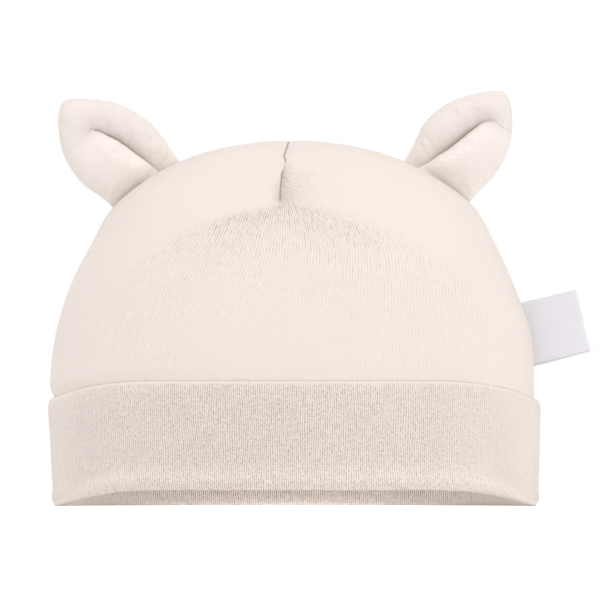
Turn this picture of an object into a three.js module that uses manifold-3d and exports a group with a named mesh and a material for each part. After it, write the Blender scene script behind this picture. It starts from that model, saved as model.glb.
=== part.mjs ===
// A baby hat with ears: a hollow jersey crown with a front and a back dart, a turned-up cuff,
// two padded, pleated ears and a small folded label in the side seam.
// Millimetres, +Z up, standing on its rim. The wearer faces -Y, so the wearer's left is +X.

import * as THREE from "three";
import { mergeVertices } from "three/addons/utils/BufferGeometryUtils.js";
import Module from "manifold-3d";

// Driving dimensions
const hatWidth = 156; // over the cuff, side to side
const hatDepth = 80; // over the cuff, front to back
const hatHeight = 116; // floor to the top of the crown
const crownWall = 1.6; // two layers of jersey
const cuffHeight = 34.2; // rim fold to the cuff's top edge
const cuffWall = 1.5; // one leg of the cuff
const cuffStandOff = 0.4; // crown to the cuff's outer leg
const cuffLegHeight = 12; // hidden inner leg, sewn to the crown's lower edge
const cuffFlare = 0.25; // how far the top edge stands off
const rollHeight = 6; // soft roll of cloth along the rim
const rollSwell = 0.45; // how far the roll puffs out
const rimFlat = 0.4; // how far the rim fold is pressed flat where it rests
const frontRise = 5.1; // how far the rim lifts off the floor at the front
const riseStart = 6; // where the lift starts, in degrees forward of the side seam
const riseEnd = 60; // where it is whole
const seamGap = 0.3; // clearance between pieces that are sewn together

const dartDepth = 0.9;
const dartHalfWidth = 2.2;
const dartLength = 22; // down from the top of the crown
const dartTop = -1.7; // where the dart starts, from the middle of the hat
const dartFoot = -4.7; // where it ends
const seamDepth = 0.4; // groove of the seam that runs from side to side over the top
const seamHalfWidth = 1.3;
const knotHeight = 2; // top stretch, where the seams meet and hold each other up
const knotHold = 0.7; // share of the grooves' depth that this takes away

const earLength = 35.8;
const earHalfWidth = 14.2;
const earSeatHeight = 103.5; // middle of an ear's base, above the floor
const earFrontThickness = 5;
const earBackThickness = 4;
const earRoundness = 2.2; // exponent of an ear's section: 2 is round, more is flatter
const pleatDepth = 0.72; // share of the front thickness
const pleatUpperReach = 3.6; // how far the pleat's gentle side runs
const pleatLowerReach = 0.9; // how far its steep side runs

const labelWidth = 20; // along the side seam
const labelReach = 17.4; // out from the side seam
const labelLeaf = 0.5; // one thickness of tape
const labelSlit = 0.4; // between the two leaves
const labelTail = 3; // how far the leaves run into the seam before they are cut to it
const labelSeatHeight = 55; // middle of the label, above the floor
const labelTilt = 76.5; // degrees from upright

// Mesh density
const seams = 4; // front dart, two side seams and back dart, a quarter turn apart
const columnsPerSeam = 14;
const outerRows = 20;
const innerRows = 11;
const earRows = 15;
const earBackColumns = 9;

// The crown from rim to top. Heights are shares of hatHeight; right, left, front and back are
// shares of the crown's half-width and half-depth; square is the section's superellipse exponent.
const crownSections = [
  { height: 0.0, right: 0.982, left: 0.99, front: 0.96, back: 0.95, square: 2.3 },
  { height: 0.12, right: 0.99, left: 0.997, front: 0.972, back: 0.965, square: 2.3 },
  { height: 0.22, right: 0.996, left: 0.998, front: 0.985, back: 0.98, square: 2.3 },
  { height: 0.295, right: 1.004, left: 0.998, front: 0.995, back: 0.99, square: 2.3 },
  { height: 0.34, right: 1.02, left: 1.0, front: 1.005, back: 0.995, square: 2.3 },
  { height: 0.47, right: 0.996, left: 0.99, front: 1.01, back: 1.0, square: 2.25 },
  { height: 0.6, right: 0.938, left: 0.922, front: 0.985, back: 0.965, square: 2.2 },
  { height: 0.715, right: 0.85, left: 0.84, front: 0.915, back: 0.89, square: 2.15 },
  { height: 0.82, right: 0.756, left: 0.745, front: 0.8, back: 0.77, square: 2.1 },
  { height: 0.91, right: 0.583, left: 0.563, front: 0.625, back: 0.6, square: 2.05 },
  { height: 0.967, right: 0.385, left: 0.365, front: 0.42, back: 0.4, square: 2.0 },
  { height: 0.994, right: 0.175, left: 0.16, front: 0.2, back: 0.19, square: 2.0 },
  { height: 1.0, right: 0.0, left: 0.0, front: 0.0, back: 0.0, square: 2.0 },
];

// An ear from inside the crown to its tip. along is a share of the ear's length; upper and lower
// are half-widths either side of its middle line, and pleat is where the pleat lies, all as shares
// of the ear's half-width; thick is a share of its thickness; fold is how open the pleat is.
const earSections = [
  { along: -0.14, upper: 0.9, lower: 0.9, pleat: 0.48, thick: 0.44, fold: 1 },
  { along: 0.0, upper: 0.95, lower: 0.93, pleat: 0.44, thick: 0.55, fold: 1 },
  { along: 0.15, upper: 1.02, lower: 0.94, pleat: 0.36, thick: 0.84, fold: 1 },
  { along: 0.33, upper: 1.04, lower: 0.99, pleat: 0.24, thick: 1.0, fold: 1 },
  { along: 0.52, upper: 0.94, lower: 0.94, pleat: 0.14, thick: 1.0, fold: 0.85 },
  { along: 0.68, upper: 0.77, lower: 0.81, pleat: 0.06, thick: 0.88, fold: 0.45 },
  { along: 0.83, upper: 0.49, lower: 0.57, pleat: -0.02, thick: 0.68, fold: 0.05 },
  { along: 0.95, upper: 0.2, lower: 0.28, pleat: -0.02, thick: 0.42, fold: 0 },
  { along: 1.0, upper: 0.0, lower: 0.0, pleat: 0.0, thick: 0.0, fold: 0 },
];

// The two ears differ a little. seat, length and width are shares of the ears' named sizes, and
// tilt is how far an ear leans outwards, in degrees.
const ears = [
  { name: "ear_right", side: -1, tilt: 44, seat: 0.995, length: 1.014, width: 1.014 },
  { name: "ear_left", side: 1, tilt: 37.5, seat: 1.005, length: 0.983, width: 0.98 },
];

const crownHalfWidth = hatWidth / 2 - cuffWall - cuffStandOff;
const crownHalfDepth = hatDepth / 2 - cuffWall - cuffStandOff;

const radians = THREE.MathUtils.degToRad;
const smoothstep = THREE.MathUtils.smoothstep;
const lerp = THREE.MathUtils.lerp;

// A value between a table's rows. Beyond the last row the shape is mirrored, so that it closes round.
const mirroredColumns = ["right", "left", "front", "back", "upper", "lower", "thick"];
function spline(rows, column, position) {
  const last = rows.length - 1;
  const row = Math.min(Math.floor(position), last - 1);
  const value = (index) => {
    if (index < 0) return 2 * rows[0][column] - rows[1][column];
    if (index <= last) return rows[index][column];
    const mirrored = rows[2 * last - index][column];
    return mirroredColumns.includes(column) ? -mirrored : mirrored;
  };
  const [a, b, c, d] = [-1, 0, 1, 2].map((step) => value(row + step));
  const t = position - row;
  const bend = 2 * a - 5 * b + 4 * c - d;
  const twist = 3 * b - a - 3 * c + d;
  return b + (t * (c - a + t * (bend + t * twist))) / 2;
}

// The position in a table at which its column reaches a value, for a column that only grows.
function positionOf(rows, column, wanted) {
  let low = 0;
  let high = rows.length - 1;
  for (let step = 0; step < 40; step++) {
    const middle = (low + high) / 2;
    if (spline(rows, column, middle) < wanted) low = middle;
    else high = middle;
  }
  return (low + high) / 2;
}

// How far the cloth is lifted at a place on the hat: all of the cuff at the front, fading to the top.
function liftAt(angle, height) {
  const towardsFront = Math.max(0, -Math.sin(angle));
  const start = Math.sin(radians(riseStart));
  const turned = smoothstep(towardsFront, start, Math.sin(radians(riseEnd)));
  return frontRise * turned * (1 - smoothstep(height, cuffHeight, hatHeight));
}

// A point of the crown's plain form, before its seams are drawn in.
function plainCrown(angle, position) {
  const height = hatHeight * spline(crownSections, "height", position);
  const widthColumn = Math.cos(angle) > 0 ? "left" : "right";
  const depthColumn = Math.sin(angle) > 0 ? "back" : "front";
  const halfWidth = crownHalfWidth * spline(crownSections, widthColumn, position);
  const halfDepth = crownHalfDepth * spline(crownSections, depthColumn, position);
  const power = 2 / spline(crownSections, "square", position);
  const along = Math.cos(angle);
  const across = Math.sin(angle);
  return new THREE.Vector3(
    halfWidth * Math.sign(along) * Math.abs(along) ** power,
    halfDepth * Math.sign(across) * Math.abs(across) ** power,
    height + liftAt(angle, height),
  );
}

function crownNormal(angle, position) {
  const turn = radians(0.5);
  const climb = 0.02;
  const top = crownSections.length - 1;
  const above = Math.min(position + climb, top - climb);
  const round = plainCrown(angle + turn, position).sub(plainCrown(angle - turn, position));
  const up = plainCrown(angle, above).sub(plainCrown(angle, above - 2 * climb));
  return round.cross(up).normalize();
}

// How deep the darts and the side seam draw the cloth in at a point.
function drawnIn(point) {
  const foot = hatHeight - dartLength;
  const upDart = smoothstep(point.z, foot, hatHeight - dartLength / 3);
  const dartMiddle = lerp(dartFoot, dartTop, (point.z - foot) / dartLength);
  const fromDart = (point.x - dartMiddle) / dartHalfWidth;
  const dart = dartDepth * upDart * Math.exp(-(fromDart ** 2));
  const seam = seamDepth * Math.exp(-((point.y / seamHalfWidth) ** 2));
  const held = knotHold * smoothstep(point.z, hatHeight - knotHeight, hatHeight);
  return (dart + seam) * (1 - held);
}

// A point at some distance outside the crown's finished outer face.
function crownPoint(angle, position, outset) {
  const point = plainCrown(angle, position);
  const distance = outset - drawnIn(point);
  return point.addScaledVector(crownNormal(angle, position), distance);
}

// Angles round the hat, closer together beside each seam.
const columnAngles = Array.from({ length: seams * columnsPerSeam }, (_, index) => {
  const quarter = Math.PI / 2;
  const seam = Math.floor(index / columnsPerSeam);
  const share = (index % columnsPerSeam) / columnsPerSeam;
  return quarter * (seam + (1 - Math.cos(Math.PI * share)) / 2);
});

// A closed skin over loops of points. It ends in a point, or its last loop joins its first.
function skin(loops, start, end) {
  const size = loops[0].length;
  const points = loops.flat();
  const faces = [];
  const quad = (a, b, c, d) => faces.push(a, b, c, a, c, d);
  const bands = start ? loops.length - 1 : loops.length;
  for (let band = 0; band < bands; band++) {
    const lower = band * size;
    const upper = ((band + 1) % loops.length) * size;
    for (let i = 0; i < size; i++) {
      const next = (i + 1) % size;
      quad(lower + i, lower + next, upper + next, upper + i);
    }
  }
  if (start) {
    const first = points.push(start) - 1;
    const last = points.push(end) - 1;
    const top = (loops.length - 1) * size;
    for (let i = 0; i < size; i++) {
      const next = (i + 1) % size;
      faces.push(first, next, i, last, top + i, top + next);
    }
  }
  const geometry = new THREE.BufferGeometry().setFromPoints(points);
  geometry.setIndex(faces);
  return facingOut(geometry);
}

// Turns a closed mesh's faces outwards if they face in.
function facingOut(geometry) {
  const position = geometry.getAttribute("position");
  const index = geometry.getIndex();
  const corner = (k) => new THREE.Vector3().fromBufferAttribute(position, index.getX(k));
  let volume = 0;
  for (let k = 0; k < index.count; k += 3) {
    volume += corner(k).dot(corner(k + 1).cross(corner(k + 2)));
  }
  if (volume < 0) index.array.reverse();
  return geometry;
}

const manifold = await Module();
manifold.setup();

function solidFrom(geometry) {
  const bare = geometry.clone();
  bare.deleteAttribute("normal");
  bare.deleteAttribute("uv");
  const merged = facingOut(mergeVertices(bare));
  const vertProperties = new Float32Array(merged.getAttribute("position").array);
  const triVerts = new Uint32Array(merged.getIndex().array);
  return new manifold.Manifold(new manifold.Mesh({ numProp: 3, vertProperties, triVerts }));
}

function geometryFrom(solid) {
  const mesh = solid.getMesh();
  const geometry = new THREE.BufferGeometry();
  geometry.setAttribute("position", new THREE.BufferAttribute(mesh.vertProperties, 3));
  geometry.setIndex(new THREE.BufferAttribute(mesh.triVerts, 1));
  return geometry;
}

// Crown

const crownTop = crownSections.length - 1;
const crownEdge = positionOf(crownSections, "height", (cuffLegHeight + seamGap) / hatHeight);

function crownRings(rows, outset) {
  return Array.from({ length: rows }, (_, row) => {
    const position = lerp(crownEdge, crownTop, row / rows);
    return columnAngles.map((angle) => crownPoint(angle, position, outset));
  });
}

function crownPole(outset) {
  const pole = new THREE.Vector3(0, 0, hatHeight);
  return pole.setZ(hatHeight - drawnIn(pole) + outset);
}

function crownGeometry() {
  const outer = crownRings(outerRows, 0);
  const inner = crownRings(innerRows, -crownWall);
  return skin([...inner.reverse(), ...outer], crownPole(-crownWall), crownPole(0));
}

// The space that the crown takes, with a sewing gap round it, for fitting the ears and the label to.
function crownEnvelope() {
  const rings = crownRings(outerRows, seamGap);
  const foot = new THREE.Vector3(0, 0, cuffLegHeight);
  return solidFrom(skin(rings, foot, crownPole(seamGap)));
}

// Cuff: one folded strip, as a closed section carried round the hat

// A point of the cuff, at a height above the rim and a distance outside the crown's plain form.
function cuffPoint(angle, height, outset) {
  const position = positionOf(crownSections, "height", Math.max(height, 0) / hatHeight);
  const outwards = crownNormal(angle, position).setZ(0).normalize();
  const point = plainCrown(angle, position).addScaledVector(outwards, outset);
  return point.setZ(height + liftAt(angle, height));
}

// The strip's middle line, from the top of the inner leg, round the rim fold, to the top edge.
const outerLegShares = [0.06, 0.11, 0.155, 0.26, 0.45, 0.65, 0.84, 1];
function cuffMiddleLine() {
  const innerLeg = -cuffWall / 2;
  const outerLeg = cuffStandOff + cuffWall / 2;
  const foldRadius = (outerLeg - innerLeg) / 2;
  const foldHeight = foldRadius + cuffWall / 2 - rimFlat;
  const foldSteps = 6;
  const line = [
    { outset: innerLeg, height: cuffLegHeight },
    { outset: innerLeg, height: cuffLegHeight / 2 },
  ];
  for (let step = 0; step <= foldSteps; step++) {
    const turned = (Math.PI * step) / foldSteps;
    line.push({
      outset: (innerLeg + outerLeg) / 2 - foldRadius * Math.cos(turned),
      height: foldHeight - foldRadius * Math.sin(turned),
    });
  }
  for (const share of outerLegShares) {
    const height = lerp(foldHeight, cuffHeight - cuffWall / 2, share);
    const swell = rollSwell * Math.sin(Math.PI * Math.min(1, height / rollHeight)) ** 2;
    const flare = cuffFlare * smoothstep(share, 0.5, 1);
    line.push({ outset: outerLeg + swell + flare, height });
  }
  return line;
}

// The closed outline of the strip: both sides of its middle line, with a rounded top edge.
function cuffSection() {
  const line = cuffMiddleLine();
  const half = cuffWall / 2;
  const sides = line.map((point, i) => {
    const before = line[Math.max(i - 1, 0)];
    const after = line[Math.min(i + 1, line.length - 1)];
    const way = new THREE.Vector2(after.outset - before.outset, after.height - before.height);
    const square = new THREE.Vector2(way.y, -way.x).normalize();
    return [half, -half].map((offset) => ({
      outset: point.outset + square.x * offset,
      height: point.height + square.y * offset,
    }));
  });
  const edge = line.at(-1);
  const roundEdge = [45, 90, 135].map((degrees) => ({
    outset: edge.outset + half * Math.cos(radians(degrees)),
    height: edge.height + half * Math.sin(radians(degrees)),
  }));
  const outside = sides.map((pair) => pair[0]);
  const inside = sides.map((pair) => pair[1]).reverse();
  const outline = [...outside, ...roundEdge, ...inside];
  return outline.map(({ outset, height }) => ({ outset, height: Math.max(height, 0) }));
}

function cuffGeometry() {
  const loops = cuffSection().map(({ outset, height }) =>
    columnAngles.map((angle) => cuffPoint(angle, height, outset)),
  );
  return skin(loops);
}

// Sewn-on pieces

// Where a piece is sewn to the side seam, as the matrix of a frame whose Z points out of the crown,
// tilted from upright. Its X runs up along the seam, and its Y to the back of the hat.
function seatOnSeam(side, height, tilt) {
  const angle = side > 0 ? 0 : Math.PI;
  const position = positionOf(crownSections, "height", height / hatHeight);
  const turn = radians(tilt);
  const outwards = new THREE.Vector3(side * Math.sin(turn), 0, Math.cos(turn));
  const upwards = new THREE.Vector3(-side * Math.cos(turn), 0, Math.sin(turn));
  const backwards = new THREE.Vector3(0, 1, 0);
  const matrix = new THREE.Matrix4().makeBasis(upwards, backwards, outwards);
  return matrix.setPosition(crownPoint(angle, position, 0));
}

// A piece on its seat, with its inner end cut to the crown's form.
function sewnOn(geometry, seat, envelope) {
  geometry.applyMatrix4(seat);
  return geometryFrom(solidFrom(geometry).subtract(envelope));
}

// Ears

// How far the ear's face stands out from its middle plane, at a place across one of its sections.
function earFace(row, across, thickness) {
  const middle = (row.upper - row.lower) / 2;
  const half = (row.upper + row.lower) / 2;
  const offCentre = half ? Math.min(1, Math.abs(across - middle) / half) : 1;
  return thickness * row.thick * Math.sqrt(1 - offCentre ** earRoundness);
}

function earPleat(row, across, halfWidth) {
  const reach = across > row.pleat ? pleatUpperReach : pleatLowerReach;
  const away = (Math.abs(across - row.pleat) * halfWidth) / reach;
  return row.fold * pleatDepth * Math.exp(-away);
}

// A loop round the ear at one section: the front from its upper to its lower edge, then the back.
const upperLobeShares = [0, 0.04, 0.14, 0.34, 0.58, 0.8, 0.93];
const lowerLobeShares = [0, 0.07, 0.2, 0.42, 0.68, 0.88, 0.97];
function earLoop(position, length, halfWidth) {
  const row = {};
  for (const column of Object.keys(earSections[0])) {
    row[column] = spline(earSections, column, position);
  }
  const front = [
    ...upperLobeShares.map((share) => lerp(row.upper, row.pleat, share)),
    ...lowerLobeShares.map((share) => lerp(row.pleat, -row.lower, share)),
  ];
  const loop = front.map((across) => {
    const open = 1 - earPleat(row, across, halfWidth);
    const stand = earFace(row, across, earFrontThickness) * open;
    return new THREE.Vector3(across * halfWidth, -stand, row.along * length);
  });
  for (let column = 0; column < earBackColumns; column++) {
    const share = (1 - Math.cos((Math.PI * column) / earBackColumns)) / 2;
    const across = lerp(-row.lower, row.upper, share);
    const stand = earFace(row, across, earBackThickness);
    loop.push(new THREE.Vector3(across * halfWidth, stand, row.along * length));
  }
  return loop;
}

function earGeometry(ear, envelope) {
  const length = earLength * ear.length;
  const halfWidth = earHalfWidth * ear.width;
  const tip = earSections.length - 1;
  const loops = [];
  for (let row = 0; row < earRows; row++) {
    loops.push(earLoop((tip * row) / earRows, length, halfWidth));
  }
  const root = new THREE.Vector3(0, 0, earSections[0].along * length);
  const end = new THREE.Vector3(0, 0, length);
  const seat = seatOnSeam(ear.side, earSeatHeight * ear.seat, ear.tilt);
  return sewnOn(skin(loops, root, end), seat, envelope);
}

// Label: one strip of tape folded at its outer end, with both ends in the seam

function labelGeometry(envelope) {
  const root = -labelTail;
  const slitRadius = labelSlit / 2;
  const foldRadius = slitRadius + labelLeaf;
  const foldCentre = labelReach - foldRadius;
  const strip = new THREE.Shape();
  strip.moveTo(root, -foldRadius);
  strip.lineTo(foldCentre, -foldRadius);
  strip.absarc(foldCentre, 0, foldRadius, -Math.PI / 2, Math.PI / 2, false);
  strip.lineTo(root, foldRadius);
  strip.lineTo(root, slitRadius);
  strip.lineTo(foldCentre, slitRadius);
  strip.absarc(foldCentre, 0, slitRadius, Math.PI / 2, -Math.PI / 2, true);
  strip.lineTo(root, -slitRadius);
  strip.closePath();
  const geometry = new THREE.ExtrudeGeometry(strip, {
    depth: labelWidth,
    bevelEnabled: false,
    curveSegments: 6,
  });
  // The strip's reach becomes the seat's Z and its width the seat's X.
  geometry.translate(0, 0, -labelWidth / 2);
  const toSeat = new THREE.Matrix4().makeBasis(
    new THREE.Vector3(0, 0, 1),
    new THREE.Vector3(0, 1, 0),
    new THREE.Vector3(-1, 0, 0),
  );
  geometry.applyMatrix4(toSeat);
  const seat = seatOnSeam(1, labelSeatHeight, labelTilt);
  return sewnOn(geometry, seat, envelope);
}

// Assembly

const jersey = new THREE.MeshStandardMaterial({ color: 0xf1e4d8, roughness: 0.95, metalness: 0 });
const rib = new THREE.MeshStandardMaterial({ color: 0xe9dbce, roughness: 0.95, metalness: 0 });
const tape = new THREE.MeshStandardMaterial({ color: 0xf0eef3, roughness: 0.6, metalness: 0 });

function named(name, geometry, material) {
  const mesh = new THREE.Mesh(geometry, material);
  mesh.name = name;
  return mesh;
}

const envelope = crownEnvelope();
const hat = new THREE.Group();
hat.add(named("crown", crownGeometry(), jersey));
hat.add(named("cuff", cuffGeometry(), rib));
for (const ear of ears) hat.add(named(ear.name, earGeometry(ear, envelope), jersey));
hat.add(named("label", labelGeometry(envelope), tape));

// The origin is on the floor, in the middle of the box round the whole hat.
const middle = new THREE.Box3().setFromObject(hat, true).getCenter(new THREE.Vector3());
hat.position.set(-middle.x, -middle.y, 0);

export default hat;
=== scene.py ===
import math

import bpy
import numpy as np
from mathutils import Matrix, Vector, noise
from mathutils.bvhtree import BVHTree


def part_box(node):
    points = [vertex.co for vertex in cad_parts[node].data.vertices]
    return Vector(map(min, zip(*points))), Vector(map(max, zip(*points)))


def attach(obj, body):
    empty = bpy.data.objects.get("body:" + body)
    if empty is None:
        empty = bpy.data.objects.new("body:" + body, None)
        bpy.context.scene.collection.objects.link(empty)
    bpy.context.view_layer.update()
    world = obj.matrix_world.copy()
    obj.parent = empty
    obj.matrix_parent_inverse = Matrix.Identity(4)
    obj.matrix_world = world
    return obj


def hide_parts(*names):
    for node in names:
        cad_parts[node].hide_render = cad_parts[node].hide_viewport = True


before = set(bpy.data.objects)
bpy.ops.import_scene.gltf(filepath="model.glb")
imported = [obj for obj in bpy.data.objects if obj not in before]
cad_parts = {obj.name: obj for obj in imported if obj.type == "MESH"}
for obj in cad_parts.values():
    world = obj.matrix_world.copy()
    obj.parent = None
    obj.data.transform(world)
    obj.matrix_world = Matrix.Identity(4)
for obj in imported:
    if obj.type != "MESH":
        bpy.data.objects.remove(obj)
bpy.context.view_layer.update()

MM = 0.001

# --- The hat's own sizes, as in the CAD source ---

HAT_WIDTH = 156.0
HAT_DEPTH = 80.0
HAT_HEIGHT = 116.0
CROWN_WALL = 1.6
CUFF_HEIGHT = 34.2
CUFF_WALL = 1.5
CUFF_STAND_OFF = 0.4
CUFF_LEG = 12.0
CUFF_FLARE = 0.25
ROLL_HEIGHT = 6.0
ROLL_SWELL = 0.45
SOFT_ROLL = 0.6  # the front's rim bulges this much further than the CAD's, as in the photograph
SOFT_ROLL_HEIGHT = 11.0
RIM_FLAT = 0.4
FRONT_RISE = 5.1
RISE_START = 6.0
RISE_END = 60.0
SEAM_GAP = 0.3
SEAM_DEPTH = 0.4
CREASE_DEPTH = 0.42  # of the sharp line in the middle of a dart
CREASE_HALF_WIDTH = 0.45
SEAM_HALF_WIDTH = 1.3
DART_DEPTH = 0.9
DART_HALF_WIDTH = 2.2
DART_LENGTH = 22.0
KNOT_HEIGHT = 2.0
KNOT_HOLD = 0.7
EAR_LENGTH = 35.8
EAR_HALF_WIDTH = 14.2
EAR_SEAT = 103.5
EAR_FRONT = 5.0
EAR_BACK = 4.0
EAR_ROUNDNESS = 2.2
PLEAT_DEPTH = 0.72
PLEAT_UPPER_REACH = 3.6
PLEAT_LOWER_REACH = 0.9
LABEL_WIDTH = 20.0
LABEL_REACH = 17.4
LABEL_SEAT = 55.0
LABEL_TILT = 76.5

CROWN_HALF_WIDTH = HAT_WIDTH / 2 - CUFF_WALL - CUFF_STAND_OFF
CROWN_HALF_DEPTH = HAT_DEPTH / 2 - CUFF_WALL - CUFF_STAND_OFF


def table(names, *rows):
    """Rows of numbers as one array for each named column."""
    return dict(zip(names.split(), np.array(rows, float).T))


CROWN = table(
    "height right left front back square",
    (0.0, 0.982, 0.99, 0.96, 0.95, 2.3),
    (0.12, 0.99, 0.997, 0.972, 0.965, 2.3),
    (0.22, 0.996, 0.998, 0.985, 0.98, 2.3),
    (0.295, 1.004, 0.998, 0.995, 0.99, 2.3),
    (0.34, 1.02, 1.0, 1.005, 0.995, 2.3),
    (0.47, 0.996, 0.99, 1.01, 1.0, 2.25),
    (0.6, 0.938, 0.922, 0.985, 0.965, 2.2),
    (0.715, 0.85, 0.84, 0.915, 0.89, 2.15),
    (0.82, 0.756, 0.745, 0.8, 0.77, 2.1),
    (0.91, 0.583, 0.563, 0.625, 0.6, 2.05),
    (0.967, 0.385, 0.365, 0.42, 0.4, 2.0),
    (0.994, 0.175, 0.16, 0.2, 0.19, 2.0),
    (1.0, 0.0, 0.0, 0.0, 0.0, 2.0),
)
EAR = table(
    "along upper lower thick",
    (-0.14, 0.9, 0.9, 0.44),
    (0.0, 0.95, 0.93, 0.55),
    (0.15, 1.02, 0.94, 0.84),
    (0.33, 1.04, 0.99, 1.0),
    (0.52, 0.94, 0.94, 1.0),
    (0.68, 0.77, 0.81, 0.88),
    (0.83, 0.49, 0.57, 0.68),
    (0.95, 0.2, 0.28, 0.42),
    (1.0, 0.0, 0.0, 0.0),
)
MIRRORED = {"right", "left", "front", "back", "upper", "lower", "thick"}

# The front dart's line: height above the floor, and place across the hat.
DART_LINE = table("height across", (94.0, -4.6), (100.0, -4.4), (105.0, -3.9), (108.6, -2.9),
                  (109.4, -2.75), (110.6, -3.35), (113.0, -2.6), (116.0, -1.7))

# How the knit runs over the crown's front: at a height, the wales stand upright at a place across
# the hat (middle), and lean towards it by up to an angle (lean, degrees) beyond a distance (reach).
WALES = table(
    "height middle lean reach",
    (30.0, 8.0, 4.0, 26.0),
    (40.0, 10.0, 9.0, 26.0),
    (50.0, 18.0, 17.0, 26.0),
    (60.0, 26.0, 23.0, 27.0),
    (70.0, 27.0, 27.0, 27.0),
    (77.0, 23.0, 29.0, 29.0),
    (82.0, 10.0, 32.0, 27.0),
    (87.0, 3.0, 33.0, 20.0),
    (92.0, 0.0, 34.0, 12.0),
    (95.0, -1.0, 36.0, 9.0),
    (98.0, -4.4, 38.0, 1.5),
    (101.0, -4.4, 39.0, 0.8),
    (105.0, -3.9, 40.0, 0.5),
    (116.0, -1.7, 38.0, 0.5),
)
WALE_PITCH = table("height pitch", (30.0, 0.88), (50.0, 0.9), (62.0, 0.93), (80.0, 0.9),
                   (90.0, 0.88), (97.0, 0.94), (116.0, 0.94))
COURSE_SHARE = 0.8  # a course's height, as a share of the wales' pitch


def smoothstep(x, low, high):
    t = np.clip((x - low) / (high - low), 0.0, 1.0)
    return t * t * (3 - 2 * t)


def bell(distance, width):
    """1 where the distance is 0, falling off evenly to both sides over about the width."""
    return np.exp(-((distance / width) ** 2))


def spline(rows, column, position):
    """A value between a table's rows, by the CAD source's own rule."""
    values = rows[column]
    end = values[-2] * (-1 if column in MIRRORED else 1)
    spread = np.concatenate([[2 * values[0] - values[1]], values, [end]])
    position = np.asarray(position, float)
    row = np.clip(np.floor(position).astype(int), 0, len(values) - 2)
    a, b, c, d = (spread[row + step] for step in range(4))
    t = position - row
    return b + t * (c - a + t * (2 * a - 5 * b + 4 * c - d + t * (3 * b - a - 3 * c + d))) / 2


FINE = np.linspace(0, len(CROWN["height"]) - 1, 6001)
FINE_HEIGHTS = spline(CROWN, "height", FINE)


def position_at(height):
    """The place in the crown's table of a height in millimetres."""
    return np.interp(np.asarray(height, float) / HAT_HEIGHT, FINE_HEIGHTS, FINE)


def lift_at(angle, height):
    towards_front = np.maximum(0, -np.sin(angle))
    start, end = math.sin(math.radians(RISE_START)), math.sin(math.radians(RISE_END))
    fade = 1 - smoothstep(height, CUFF_HEIGHT, HAT_HEIGHT)
    return FRONT_RISE * smoothstep(towards_front, start, end) * fade


def plain_crown(angle, position):
    angle, position = np.broadcast_arrays(np.asarray(angle, float), np.asarray(position, float))
    height = HAT_HEIGHT * spline(CROWN, "height", position)
    along, across = np.cos(angle), np.sin(angle)
    sides = np.where(along > 0, spline(CROWN, "left", position), spline(CROWN, "right", position))
    depths = np.where(across > 0, spline(CROWN, "back", position), spline(CROWN, "front", position))
    power = 2 / spline(CROWN, "square", position)
    return np.stack([
        CROWN_HALF_WIDTH * sides * np.sign(along) * np.abs(along) ** power,
        CROWN_HALF_DEPTH * depths * np.sign(across) * np.abs(across) ** power,
        height + lift_at(angle, height),
    ], axis=-1)


def unit(vectors):
    return vectors / np.maximum(np.linalg.norm(vectors, axis=-1, keepdims=True), 1e-12)


def crown_normal(angle, position):
    turn, climb = math.radians(0.5), 0.02
    above = np.minimum(position + climb, len(CROWN["height"]) - 1 - climb)
    round_it = plain_crown(angle + turn, position) - plain_crown(angle - turn, position)
    up = plain_crown(angle, above) - plain_crown(angle, above - 2 * climb)
    return unit(np.cross(round_it, up))


def dart_at(height):
    return np.interp(height, DART_LINE["height"], DART_LINE["across"])


def drawn_in(point):
    """How deep the darts and the side seam draw the cloth in."""
    x, y, z = point[..., 0], point[..., 1], point[..., 2]
    foot = HAT_HEIGHT - DART_LENGTH
    held = 1 - KNOT_HOLD * smoothstep(z, HAT_HEIGHT - KNOT_HEIGHT, HAT_HEIGHT)
    away = x - dart_at(z)
    wide = 0.62 * DART_DEPTH * smoothstep(z, foot, HAT_HEIGHT - DART_LENGTH / 3)
    crease = CREASE_DEPTH * smoothstep(z, foot - 1, foot + 7)
    dart = wide * bell(away, DART_HALF_WIDTH) + crease * np.exp(-np.abs(away) / CREASE_HALF_WIDTH)
    seam = SEAM_DEPTH * (0.6 * bell(y, SEAM_HALF_WIDTH) + 0.55 * np.exp(-np.abs(y) / 0.4))
    return (dart + seam) * held


def crown_point(angle, position, outset):
    point = plain_crown(angle, position)
    return point + crown_normal(angle, position) * (outset - drawn_in(point))[..., None]


# The hat's own middle line, in the row's frame. The CAD source centres the box round everything.
CUFF_BOX = [np.array(corner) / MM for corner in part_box("cuff")]


def cuff_point(angle, height, outset):
    """A point of the cuff, at a height above the rim and a distance outside the plain crown."""
    position = position_at(np.maximum(height, 0))
    normal = crown_normal(angle, position)
    normal[..., 2] = 0
    point = plain_crown(angle, position) + unit(normal) * np.asarray(outset)[..., None]
    point[..., 2] = height + lift_at(angle, height)
    return point


def hat_middle():
    """Where the hat's own middle stands in the row's frame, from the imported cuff's box."""
    angles = np.linspace(0, 2 * math.pi, 1441)
    heights = np.linspace(0.2, CUFF_HEIGHT - CUFF_WALL / 2, 120)
    outset = CUFF_STAND_OFF + CUFF_WALL + CUFF_FLARE * smoothstep(heights / CUFF_HEIGHT, 0.5, 1)
    outset = np.broadcast_to(outset[:, None], (len(heights), len(angles)))
    ring = cuff_point(angles[None], heights[:, None], outset).reshape(-1, 3)
    own = (ring.min(0) + ring.max(0)) / 2
    packed = (CUFF_BOX[0] + CUFF_BOX[1]) / 2
    return np.array([packed[0] - own[0], packed[1] - own[1], 0.0])


MIDDLE = hat_middle()

# --- Meshes ---


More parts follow.
